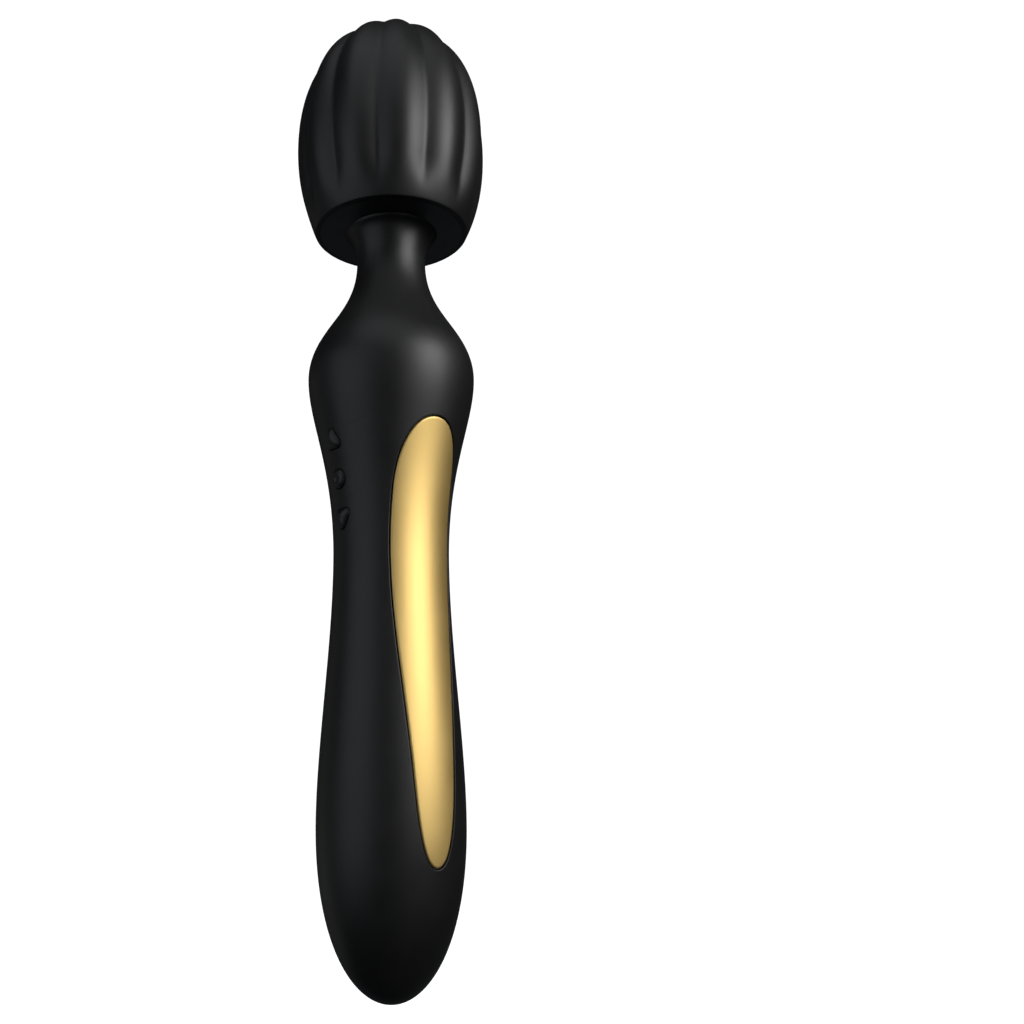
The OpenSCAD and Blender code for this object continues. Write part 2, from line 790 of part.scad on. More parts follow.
module inlay(side) {
    face = inset(outline, leaf_sink);
    back = inset(outline, skin_t - slip_fit);
    low = -leaf_bottom - 3;
    high = leaf_top + 3;
    color([0.85, 0.68, 0.35]) {
        intersection() {
            turned(span(face, low, high), span(back, low, high));
            leaf_prism(side, 0);
        }
        inlay_pegs(side, peg_r, shell_t);
    }
}
module inlay_right() { inlay(1); }
module inlay_left() { inlay(-1); }

function corner_arc(a, c, r) = [
    for (i = [-4:4]) let (b = a + i * 15) c * [cos(a), sin(a)] + r * [cos(b), sin(b)]
];
// A triangle with rounded corners, the first one up (90) or down (-90)
module button_outline(shape, gap) {
    if (shape == 0) circle(r = button_r + gap, $fn = 48);
    else polygon([
        for (i = [0:2]) each corner_arc(shape + i * 120, button_corner, button_corner_r + gap)
    ]);
}

// The button's outline drawn out along -Y from the axis
module button_prism(shape, z, gap) {
    translate([0, 0, z]) rotate([90, 0, 0]) linear_extrude(shoulder_d) button_outline(shape, gap);
}

module button_cap(i) {
    z = button_z[i];
    low = z - button_reach;
    high = z + button_reach;
    color([0.09, 0.09, 0.1]) intersection() {
        turned(
            span(inset(outline, -button_proud), low, high),
            span(inset(outline, button_deep), low, high)
        );
        button_prism(button_aim[i], z, 0);
    }
}

// Stem from the cap to just above the switch, with a flange that stops it inside the shell
module button_plunger(i) {
    z = button_z[i];
    wall = min(radius_at(under_shell, z - stop_r), radius_at(under_shell, z + stop_r));
    stop_y = -sqrt(wall * wall - stop_r * stop_r) + slip_fit;
    stem_end = switch_face - button_travel - slip_fit / 2;
    color([0.8, 0.8, 0.78]) intersection() {
        union() {
            rod_y(0, z, stem_r, -shoulder_d, stem_end);
            rod_y(0, z, stop_r, stop_y, stop_y + stop_t);
        }
        solid_of(span(inset(outline, button_deep), z - button_reach, z + button_reach));
    }
}

module handle_skin() {
    color([0.11, 0.11, 0.12]) difference() {
        turned(span(outline, tip_z, flex_z), span(under_skin, tip_z + skin_t, flex_z));
        for (side = [-1, 1]) leaf_prism(side, leaf_gap);
        for (i = [0:2]) button_prism(button_aim[i], button_z[i], button_gap);
        cylinder_at(nozzle_r + slip_fit, tip_z - 1, socket_base + 1);
        cylinder_at(socket_r + slip_fit, socket_base, socket_top);
    }
}

// Shell wall with the ledge round the lower neck plug
module shell_wall() {
    neck_bore = plug_r + slip_fit / 2;
    turned(
        span(under_skin, tip_z + skin_t, flex_z),
        concat(
            span(under_shell, tip_z + skin_t + shell_t, ledge_z),
            [[neck_bore, ledge_z], [neck_bore, flex_z]]
        )
    );
}

module shell_bosses(y0, y1) {
    for (z = screw_z) for (side = [-1, 1]) rod_y(side * screw_x(z), z, boss_r, y0, y1);
}

// Half rings inside a shell that carry the cell
module cell_ribs(r_in) {
    for (z = rib_z) translate([0, 0, z]) difference() {
        cylinder(r = grip_r, h = rib_t);
        translate([0, 0, -1]) cylinder(r = r_in, h = rib_t + 2);
    }
}

module shell_front() {
    lane_w = 8 * lead_r + 2 * air + 2;
    lane_low_y = lane_y - lead_r - 3 * air;
    color([0.3, 0.3, 0.32]) difference() {
        intersection() {
            union() {
                shell_wall();
                intersection() {
                    union() {
                        shell_bosses(-shoulder_d, 0);
                        cell_ribs(cell_r + pad_t);
                        for (x = [-1, 1]) for (z = board_screw_z)
                            rod_y(x * board_screw_x, z, board_post_r, -shoulder_d, board_y);
                    }
                    solid_of(span(under_skin, tip_z + skin_t, flex_z));
                }
            }
            half(-1);
        }
        for (i = [0:2]) rod_y(0, button_z[i], stem_r + run_fit, -shoulder_d, -stem_r);
        for (z = screw_z) for (side = [-1, 1]) rod_y(side * screw_x(z), z, screw_r, -screw_grip - 0.5, 1);
        for (x = [-1, 1]) for (z = board_screw_z)
            rod_y(x * board_screw_x, z, small_screw_r, board_y - 2, board_y + 1);
        for (side = [-1, 1]) inlay_pegs(side, peg_r + slip_fit / 2, 2 * shell_t);
        translate([-lane_w / 2, lane_low_y, cell_z]) cube([lane_w, cell_r / 2, cell_l]);
        cylinder_at(socket_r + slip_fit / 2, tip_z, socket_top);
        ring_of(4, plug_screw_r, 45) cylinder_at(small_screw_r, ledge_z - 1, ledge_z + plug_screw_grip + 1);
    }
}

module shell_rear() {
    color([0.32, 0.32, 0.34]) difference() {
        intersection() {
            union() {
                shell_wall();
                intersection() {
                    union() {
                        shell_bosses(0, shoulder_d);
                        cell_ribs(cell_r + tray_t + slip_fit);
                    }
                    solid_of(span(under_skin, tip_z + skin_t, flex_z));
                }
            }
            half(1);
        }
        for (z = screw_z) for (side = [-1, 1]) {
            rod_y(side * screw_x(z), z, screw_r + slip_fit, -1, shoulder_d);
            rod_y(side * screw_x(z), z, screw_head_r + slip_fit, screw_seat_y, shoulder_d);
        }
        for (side = [-1, 1]) inlay_pegs(side, peg_r + slip_fit / 2, 2 * shell_t);
        cylinder_at(socket_r + slip_fit / 2, tip_z, socket_top);
        ring_of(4, plug_screw_r, 45) cylinder_at(small_screw_r, ledge_z - 1, ledge_z + plug_screw_grip + 1);
    }
}

module shell_screws() {
    color("silver") for (z = screw_z) for (side = [-1, 1])
        translate([side * screw_x(z), screw_seat_y, z]) rotate([-90, 0, 0])
            screw(screw_r, screw_head_r, screw_head_h, screw_seat_y + screw_grip);
}

// ---- electronics ----

module control_board() {
    color([0.05, 0.35, 0.18]) difference() {
        translate([-board_half_w, board_y, board_low]) cube([2 * board_half_w, board_t, board_l]);
        for (x = [-1, 1]) for (z = board_screw_z)
            rod_y(x * board_screw_x, z, small_screw_r + slip_fit, board_y - 1, board_back + 1);
    }
}

module board_screws() {
    color("silver") for (x = [-1, 1]) for (z = board_screw_z)
        translate([x * board_screw_x, board_back, z]) rotate([-90, 0, 0])
            screw(small_screw_r, small_head_r, small_head_h, board_t + 1.8);
}

module switches() {
    color([0.15, 0.15, 0.16]) for (z = button_z) {
        translate([-switch_w / 2, board_y - switch_h, z - switch_w / 2]) cube([switch_w, switch_h, switch_w]);
        rod_y(0, z, switch_dot_r, switch_face, board_y - switch_h);
    }
}

// One component on the board's rear face, by its middle and its size
module chip(x, z, w, h, t) {
    translate([x - w / 2, board_back, z - h / 2]) cube([w, t, h]);
}

module board_chips() {
    mid = board_low + board_l / 2;
    color([0.12, 0.12, 0.13]) {
        chip(0, mid - 1, 5, 6, 1.2);
        chip(-4.5, mid + 5.5, 3, 3, 1);
        chip(4.5, mid + 5.5, 3, 3, 1.6);
        for (at = [[-5.4, -4.3], [-5.4, -1.3], [5.2, -3.3]]) chip(at[0], mid + at[1], 2, 1.4, 0.8);
    }
}

module lead_connector() {
    color([0.93, 0.92, 0.88]) difference() {
        chip(0, board_top - 1 - connector_h / 2, connector_w, connector_h, connector_t);
        for (side = [-1, 1]) translate([side * connector_pin_x, board_back + connector_t / 2, 0])
            cylinder_at(lead_r + slip_fit, board_top - 5, board_top);
    }
}

module battery_cell() {
    color([0.2, 0.35, 0.65]) {
        cylinder_at(cell_r, cell_z, cell_top - cell_cap_h);
        cylinder_at(cell_cap_r, cell_top - 2 * cell_cap_h, cell_top);
    }
}

// Half trough behind the cell, with an end wall at each end
module battery_cradle() {
    low = cell_z - tray_gap - tray_t;
    high = cell_top + tray_gap + tray_t;
    color([0.82, 0.82, 0.78]) intersection() {
        union() {
            tube(cell_r + tray_t, cell_r + slip_fit / 2, low, high);
            cylinder_at(cell_r + tray_t, low, low + tray_t);
            cylinder_at(cell_r + tray_t, high - tray_t, high);
        }
        translate([-cell_r - 2, air, low - 1]) cube([2 * cell_r + 4, cell_r + 2, high - low + 2]);
    }
}

module battery_tabs() {
    tab_t = 0.3;
    tab_w = 5;
    tab_l = 10;
    color([0.8, 0.8, 0.78]) for (z = [cell_z - tab_t, cell_top])
        translate([-tab_w / 2, -0.7 * tab_l, z]) cube([tab_w, tab_l, tab_t]);
}

module battery_pads() {
    color([0.25, 0.25, 0.27]) for (z = rib_z) difference() {
        tube(cell_r + pad_t, cell_r, z - pad_over, z + rib_t + pad_over);
        translate([-2 * cell_r, -0.3 * cell_r, z - 2 * pad_over])
            cube([4 * cell_r, 2 * cell_r, rib_t + 4 * pad_over]);
    }
}

module battery_leads() {
    color([0.75, 0.1, 0.1]) {
        lead([
            [2.2, -5, cell_top + 0.4 + lead_r], [3, -6, cell_top + 3], [lead_x, -5, cell_top + 12],
            [lead_x, land_y + 1.5, board_low - 6], [lead_x, land_y, board_low + 1],
            [lead_x, land_y, board_low + 4]
        ]);
        lead([
            [-1.6, -7.6, cell_z - 0.4 - lead_r], [-1.8, lane_y, cell_z - 0.4], [-1.8, lane_y, cell_z + 6],
            [-1.8, lane_y, cell_top - 4], [-2.6, lane_y + 1.5, cell_top + 8],
            [-lead_x, land_y + 1, board_low - 6], [-lead_x, land_y, board_low + 1],
            [-lead_x, land_y, board_low + 4]
        ]);
    }
}

module charge_socket() {
    color([0.16, 0.16, 0.17]) difference() {
        union() {
            cylinder_at(nozzle_r, tip_z + port_sink, socket_base + 1);
            cylinder_at(socket_r, socket_base + slip_fit, socket_top);
        }
        cylinder_at(port_r, tip_z - 1, tip_z + port_sink + port_l);
    }
}

module charge_leads() {
    color([0.1, 0.1, 0.1]) for (k = [0, 1]) {
        x = k * lead_pitch - 0.1;
        land_x = lead_x - (2 - k) * lead_pitch;
        lead([
            [x - 0.7, -0.6, socket_top + 0.1], [x - 0.7, -1.2, socket_top + 1],
            [x, -4.5, cell_z - 1.5], [x, lane_y + 1, cell_z - 1.6], [x, lane_y, cell_z + 1],
            [x, lane_y, cell_z + 6], [x, lane_y, cell_top - 4], [x, lane_y + 1.5, cell_top + 8],
            [land_x, land_y + 0.6, board_low - 6], [land_x, land_y, board_low + 1],
            [land_x, land_y, board_low + 4]
        ]);
    }
}

module button_up_cap() { button_cap(2); }
module button_up_plunger() { button_plunger(2); }
module button_power_cap() { button_cap(1); }
module button_power_plunger() { button_plunger(1); }
module button_down_cap() { button_cap(0); }
module button_down_plunger() { button_plunger(0); }

head_cap();
head_dome();
head_base();
motor_cradle();
cradle_screws();
motor_damper();
motor_can();
motor_endcap();
motor_magnets();
motor_bushes();
motor_clamp();
motor_shaft();
motor_rotor();
eccentric_weight();
neck_sleeve();
neck_spring();
neck_plug_upper();
upper_plug_screws();
neck_plug_lower();
lower_plug_screws();
motor_leads();
handle_skin();
shell_front();
shell_rear();
shell_screws();
inlay_right();
inlay_left();
control_board();
board_screws();
switches();
board_chips();
lead_connector();
battery_cell();
battery_cradle();
battery_tabs();
battery_pads();
battery_leads();
charge_socket();
charge_leads();
button_up_cap();
button_up_plunger();
button_power_cap();
button_power_plunger();
button_down_cap();
button_down_plunger();
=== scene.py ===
"""Looks of the wand massager: skin, fluted head, inlays, buttons, materials, light and camera."""

import json
import math

import bmesh
import bpy
import numpy as np
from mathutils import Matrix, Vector


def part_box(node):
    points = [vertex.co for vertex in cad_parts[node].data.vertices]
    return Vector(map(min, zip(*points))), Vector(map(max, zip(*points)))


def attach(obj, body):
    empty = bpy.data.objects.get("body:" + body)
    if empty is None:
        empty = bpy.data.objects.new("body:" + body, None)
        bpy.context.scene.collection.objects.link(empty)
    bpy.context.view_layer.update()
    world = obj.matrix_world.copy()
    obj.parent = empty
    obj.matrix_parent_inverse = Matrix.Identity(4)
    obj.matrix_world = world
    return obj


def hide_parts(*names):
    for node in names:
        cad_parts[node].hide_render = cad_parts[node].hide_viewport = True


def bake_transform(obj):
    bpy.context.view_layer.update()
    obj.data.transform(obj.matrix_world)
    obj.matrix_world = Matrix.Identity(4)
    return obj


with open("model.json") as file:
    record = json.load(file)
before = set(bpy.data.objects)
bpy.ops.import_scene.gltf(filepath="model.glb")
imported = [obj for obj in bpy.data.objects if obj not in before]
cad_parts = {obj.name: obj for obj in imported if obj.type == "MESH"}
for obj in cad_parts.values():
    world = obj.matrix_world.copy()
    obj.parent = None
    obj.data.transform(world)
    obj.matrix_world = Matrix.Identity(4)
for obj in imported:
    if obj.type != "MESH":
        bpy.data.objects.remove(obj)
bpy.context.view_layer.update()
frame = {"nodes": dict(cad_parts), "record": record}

# Shapes are worked out in millimetres and turned into metres when a mesh is made.
MM = 0.001


def box_mm(node):
    low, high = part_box(node)
    return low / MM, high / MM


skin_low, skin_high = box_mm("handle_skin")
sleeve_low, sleeve_high = box_mm("neck_sleeve")
cap_low, cap_high = box_mm("head_cap")
leaf_low_corner, leaf_high_corner = box_mm("inlay_right")

# ---------------------------------------------------------------- outline of the handle

TIP_Z = skin_low.z
SHOULDER_R = skin_high.x
FLARE_R = sleeve_high.x
FLARE_Z = sleeve_high.z
GRIP_Z, GRIP_R = -68.3, 19.6
WAIST_Z, WAIST_R = 0.0, 15.9
SHOULDER_Z = 51.8
NECK_Z, NECK_R = 88.0, 10.0
SKIN_T = 1.45
OUTLINE_STEPS = 400
# How full each stretch is at its lower and its upper end, against its height
END_FULL = 0.664
LOWER_GRIP_FULL = (0.3, 0.345)
UPPER_GRIP_FULL = (0.51, 0.234)
SHOULDER_FULL = (0.366, 0.48)


def bezier(a, b, c, d, count):
    t = np.linspace(0, 1, count + 1)[:, None]
    u = 1 - t
    a, b, c, d = (np.array(p, float) for p in (a, b, c, d))
    return u ** 3 * a + 3 * u * u * t * b + 3 * u * t * t * c + t ** 3 * d


def rise(r0, z0, r1, z1, full):
    """A stretch of outline that is parallel to the axis at both ends."""
    span = z1 - z0
    return bezier((r0, z0), (r0, z0 + full[0] * span), (r1, z1 - full[1] * span), (r1, z1),
                  OUTLINE_STEPS)


def joined(*stretches):
    return np.concatenate([stretches[0]] + [s[1:] for s in stretches[1:]])


class Outline:
    """A curve of (radius, height) points with its normals, read by height or by length."""

    def __init__(self, points):
        self.points = points
        step = np.gradient(points, axis=0)
        step /= np.linalg.norm(step, axis=1)[:, None]
        self.normals = np.stack([step[:, 1], -step[:, 0]], axis=1)
        pace = np.linalg.norm(np.diff(points, axis=0), axis=1)
        self.length = np.concatenate([[0], np.cumsum(pace)])

    def at_height(self, z):
        """Radius, height and the two parts of the normal at a height."""
        return self._read(self.points[:, 1], z)

    def at_length(self, s):
        return self._read(self.length, s)

    def _read(self, key, value):
        columns = (self.points[:, 0], self.points[:, 1], self.normals[:, 0], self.normals[:, 1])
        return np.stack([np.interp(value, key, c) for c in columns], axis=-1)

    def length_at(self, z):
        return np.interp(z, self.points[:, 1], self.length)


end_h = GRIP_Z - TIP_Z
flare_h = FLARE_Z - NECK_Z
handle = Outline(joined(
    bezier((0, TIP_Z), (0.5 * GRIP_R, TIP_Z), (GRIP_R, GRIP_Z - END_FULL * end_h),
           (GRIP_R, GRIP_Z), OUTLINE_STEPS),
    rise(GRIP_R, GRIP_Z, WAIST_R, WAIST_Z, LOWER_GRIP_FULL),
    rise(WAIST_R, WAIST_Z, SHOULDER_R, SHOULDER_Z, UPPER_GRIP_FULL),
    rise(SHOULDER_R, SHOULDER_Z, NECK_R, NECK_Z, SHOULDER_FULL),
    bezier((NECK_R, NECK_Z), (NECK_R, NECK_Z + 0.5 * flare_h),
           (NECK_R + (FLARE_R - NECK_R) / 3, FLARE_Z - 0.1 * flare_h), (FLARE_R, FLARE_Z),
           OUTLINE_STEPS),
))

# ---------------------------------------------------------------- outline of an inlay

LEAF_TOP = leaf_high_corner.z
LEAF_BOTTOM = leaf_low_corner.z
LEAF_HALF_W = leaf_high_corner.y
LEAF_WIDE_Z = 16.0
LEAF_LOW_HALF_W = 6.45
LEAF_LOW_Z = -55.0
LEAF_STEPS = 132
LEAF_CURVE_STEPS = 600
LEAF_LEAN = 0.07


def leaf_side():
    """An inlay's side, lower tip to upper tip: points (half width, height) and their normals."""
    end_len = LEAF_LOW_Z - LEAF_BOTTOM
    mid_len = LEAF_WIDE_Z - LEAF_LOW_Z
    top_len = LEAF_TOP - LEAF_WIDE_Z
    curve = joined(
        bezier((0, LEAF_BOTTOM), (0.73 * LEAF_LOW_HALF_W, LEAF_BOTTOM),
               (LEAF_LOW_HALF_W - LEAF_LEAN * 0.42 * end_len, LEAF_LOW_Z - 0.42 * end_len),
               (LEAF_LOW_HALF_W, LEAF_LOW_Z), LEAF_CURVE_STEPS),
        bezier((LEAF_LOW_HALF_W, LEAF_LOW_Z),
               (LEAF_LOW_HALF_W + LEAF_LEAN * 0.5 * mid_len, LEAF_LOW_Z + 0.5 * mid_len),
               (LEAF_HALF_W, LEAF_WIDE_Z - 0.44 * mid_len), (LEAF_HALF_W, LEAF_WIDE_Z),
               LEAF_CURVE_STEPS),
        bezier((LEAF_HALF_W, LEAF_WIDE_Z), (LEAF_HALF_W, LEAF_WIDE_Z + 0.28 * top_len),
               (LEAF_HALF_W, LEAF_TOP), (0, LEAF_TOP), LEAF_CURVE_STEPS),
    )
    side = Outline(curve)
    found = side.at_length(np.linspace(0, side.length[-1], LEAF_STEPS + 1))
    points, normals = found[:, :2], found[:, 2:]
    normals[0] = (0, -1)
    normals[-1] = (0, 1)
    return points, normals


leaf_points, leaf_normals = leaf_side()


def leaf_ring(offset):
    """The inlay's side moved outwards by offset: half widths and heights."""
    moved = leaf_points + offset * leaf_normals
    return moved[:, 0], moved[:, 1]


# ---------------------------------------------------------------- mesh helpers

class Sheet:
    """Collects points and faces, then makes one welded mesh object."""

    def __init__(self):
        self.points = []
        self.faces = []
        self.count = 0

    def add(self, points):
        """Adds an array of points in millimetres and returns their indices in the same shape."""
        points = np.asarray(points, float)
        flat = points.reshape(-1, 3)
        index = np.arange(self.count, self.count + len(flat)).reshape(points.shape[:-1])
        self.points.append(flat)
        self.count += len(flat)
        return index

    def grid(self, index, flip=False, skip=None):
        """Quads over a 2-D array of indices."""
        for j in range(index.shape[0] - 1):
            for k in range(index.shape[1] - 1):
                if skip is None or not skip(j, k):
                    quad = (index[j, k], index[j, k + 1], index[j + 1, k + 1], index[j + 1, k])
                    self.faces.append(quad[::-1] if flip else quad)

    def ring(self, loops, flip=False):
        """Quads between closed loops that have as many points each."""
        closed = np.concatenate([loops, loops[:, :1]], axis=1)
        self.grid(closed, flip)

    def fan(self, loop, centre, flip=False):
        for k in range(len(loop)):
            tri = (loop[k], loop[(k + 1) % len(loop)], centre)
            self.faces.append(tri[::-1] if flip else tri)

    def make(self, name, sharp=None):
        """Welds and smooths the mesh; edges steeper than sharp degrees stay hard."""
        mesh = bpy.data.meshes.new(name)
        faces = [tuple(map(int, face)) for face in self.faces]
        mesh.from_pydata((np.concatenate(self.points) * MM).tolist(), [], faces)
        work = bmesh.new()
        work.from_mesh(mesh)
        bmesh.ops.remove_doubles(work, verts=work.verts, dist=0.5e-6)
        bmesh.ops.dissolve_degenerate(work, edges=work.edges, dist=1e-7)
        bmesh.ops.recalc_face_normals(work, faces=work.faces)
        for face in work.faces:
            face.smooth = True
        if sharp is not None:
            for edge in work.edges:
                if len(edge.link_faces) == 2 and edge.calc_face_angle(0) > math.radians(sharp):
                    edge.smooth = False
        work.to_mesh(mesh)
        work.free()
        made = bpy.data.objects.new(name, mesh)
        bpy.context.scene.collection.objects.link(made)
        return made


def on_handle(theta, spot, depth):
    """Points at angles theta round the handle, at outline places spot, depth below the surface."""
    theta, depth = np.broadcast_arrays(theta, depth)
    r, z, nr, nz = np.moveaxis(np.broadcast_to(spot, theta.shape + (4,)), -1, 0)
    reach = r - nr * depth
    return np.stack([reach * np.cos(theta), reach * np.sin(theta), z - nz * depth], axis=-1)


def side_angle(y, z):
    """Angle from the +X direction of a point on the skin that is y off the middle plane."""
    return np.arcsin(np.clip(y / handle.at_height(z)[..., 0], -1, 1))


def leaf_loop(sheet, side, distance, depth):
    """Adds an inlay's edge, moved outwards by distance, at a depth below the skin's surface."""
    y, z = leaf_ring(distance)
    y = np.concatenate([y, -y[-2:0:-1]])
    z = np.concatenate([z, z[-2:0:-1]])
    points = on_handle(side_angle(y, z), handle.at_height(z), np.full_like(z, depth))
    return sheet.add(points * (side, 1, 1))


def circle(sheet, around, r, z):
    """Adds a level circle, with one radius or a radius for each angle."""
    return sheet.add(np.stack([r * np.cos(around), r * np.sin(around), 0 * around + z], axis=1))


# ---------------------------------------------------------------- buttons

BUTTONS = ["down", "power", "up"]
# Where each button's first corner points; the power button is round
POINTS_TO = {"down": -90.0, "power": None, "up": 90.0}
BUTTON_PITCH = 10.3
ROUND_R = 2.6
CORNER_MID = 1.9
CORNER_R = 1.3
KEY_BASE_DEPTH = 0.7

power_low, power_high = box_mm("button_power_cap")
power_z = (power_low.z + power_high.z) / 2
button_mid = {"down": power_z - BUTTON_PITCH, "power": power_z, "up": power_z + BUTTON_PITCH}


def button_reach(which, angle):
    """Distance from a button's middle to its edge at an angle: a circle or a rounded triangle."""
    if POINTS_TO[which] is None:
        return np.full_like(angle, ROUND_R)
    dense = []
    for corner in range(3):
        aim = math.radians(POINTS_TO[which] + 120 * corner)
        turn = np.linspace(-math.pi / 3, math.pi / 3, 60) + aim
        x = CORNER_MID * math.cos(aim) + CORNER_R * np.cos(turn)
        z = CORNER_MID * math.sin(aim) + CORNER_R * np.sin(turn)
        dense.append(np.stack([x, z], axis=1))
    loop = np.concatenate(dense)
    loop = np.concatenate([loop, loop[:1]])
    steps = np.linspace(0, 1, 12)[:, None]
    fine = np.concatenate([a + (b - a) * steps for a, b in zip(loop[:-1], loop[1:])])
    bearing = np.arctan2(fine[:, 1], fine[:, 0])
    order = np.argsort(bearing)
    distance = np.hypot(fine[:, 0], fine[:, 1])
    return np.interp(angle, bearing[order], distance[order], period=2 * math.pi)


def on_front(x, z, depth):
    """Points of the skin's front, x off the middle plane, moved in by depth along the press."""
    spot = handle.at_height(z)
    y = -np.sqrt(np.maximum(spot[..., 0] ** 2 - x ** 2, 0)) + depth
    return np.stack([x + 0 * y, y, z + 0 * y], axis=-1)


def button_dome(which):
    """A soft key: a side wall, a rounded shoulder and a domed face."""
    sheet = Sheet()
    angles = np.linspace(-math.pi, math.pi, 73)[:-1]
    reach = button_reach(which, angles)
    z0 = button_mid[which]
    #   (share of the reach, height above the skin)
    rings = [(1.0, -KEY_BASE_DEPTH), (1.0, -0.1), (0.985, 0.06), (0.95, 0.18), (0.88, 0.36),
             (0.78, 0.55), (0.65, 0.74), (0.5, 0.90), (0.36, 1.0), (0.24, 1.06), (0.12, 1.09)]
    middle = 1.1
    if which == "power":
        # The power key is dished inside its rim
        rings = rings[:7] + [(0.54, 0.80), (0.44, 0.80), (0.34, 0.70), (0.22, 0.56), (0.11, 0.49)]
        middle = 0.47
    loops = []
    for share, height in rings:
        x = share * reach * np.cos(angles)
        z = z0 + share * reach * np.sin(angles)
        loops.append(sheet.add(on_front(x, z, np.full_like(x, -height))))
    sheet.ring(np.array(loops))
    top = sheet.add(on_front(np.array([0.0]), np.array([z0]), np.array([-middle])))
    sheet.fan(loops[-1], top[0])
    base = sheet.add(on_front(np.array([0.0]), np.array([z0]), np.array([KEY_BASE_DEPTH])))
    sheet.fan(loops[0], base[0], flip=True)
    return sheet.make(f"button_{which}_dome", sharp=50)


# ---------------------------------------------------------------- skin

HALF_COLUMNS = 64
ROW_STEP = 1.1
LEAF_GAP = 0.3
#   (distance from the inlay's edge, depth below the skin)
LEAF_LIP = [(0.7, 0.0), (0.5, 0.0), (0.42, 0.015), (0.36, 0.05), (0.32, 0.11), (LEAF_GAP, 0.2),
            (LEAF_GAP, 0.9)]
KEY_GAP = 0.12
#   (distance from the key's edge, depth below the skin)
KEY_LIP = [(0.4, 0.0), (0.28, 0.015), (0.20, 0.05), (0.14, 0.12), (KEY_GAP, 0.22), (KEY_GAP, 0.9)]
PORT_R = 2.05
#   (distance from the port's edge, depth below the skin)
PORT_LIP = [(0.0, 0.9), (0.0, 0.3), (0.05, 0.14), (0.14, 0.04), (0.3, 0.0)]
PORT_EDGE = PORT_LIP[-1][0]
# Half the width, in columns, of the block of the front grid that holds the keys
WINDOW_HALF = 16
# Rings between a key's window and its opening, as shares of the way back to the window
WINDOW_RINGS = (0.72, 0.46, 0.26, 0.12, 0.0)
skin_start = handle.length[np.searchsorted(handle.points[:OUTLINE_STEPS, 0], PORT_R + PORT_EDGE)]


def skin_rows():
    """Outline places of the skin's rows, each with the half angle that the inlays take there."""
    y, z = leaf_ring(LEAF_LIP[0][0])
    low, high, end = handle.length_at(z[0]), handle.length_at(z[-1]), handle.length[-1]
    below = np.linspace(skin_start, low, int((low - skin_start) / ROW_STEP))
    above = np.linspace(high, end, int((end - high) / ROW_STEP))
    places = np.concatenate([
        handle.at_length(below[:-1]), handle.at_height(z), handle.at_length(above[1:])
    ])
    half = np.concatenate([np.zeros(len(below) - 1), side_angle(y, z), np.zeros(len(above) - 1)])
    return places, half


def window_loop(index, rows, columns):
    """Indices round a block of the front grid, anticlockwise as seen from the front."""
    (j0, j1), (k0, k1) = rows, columns
    return np.concatenate([
        index[j0, k0:k1], index[j0:j1, k1], index[j1, k1:k0:-1], index[j1:j0:-1, k0]
    ])


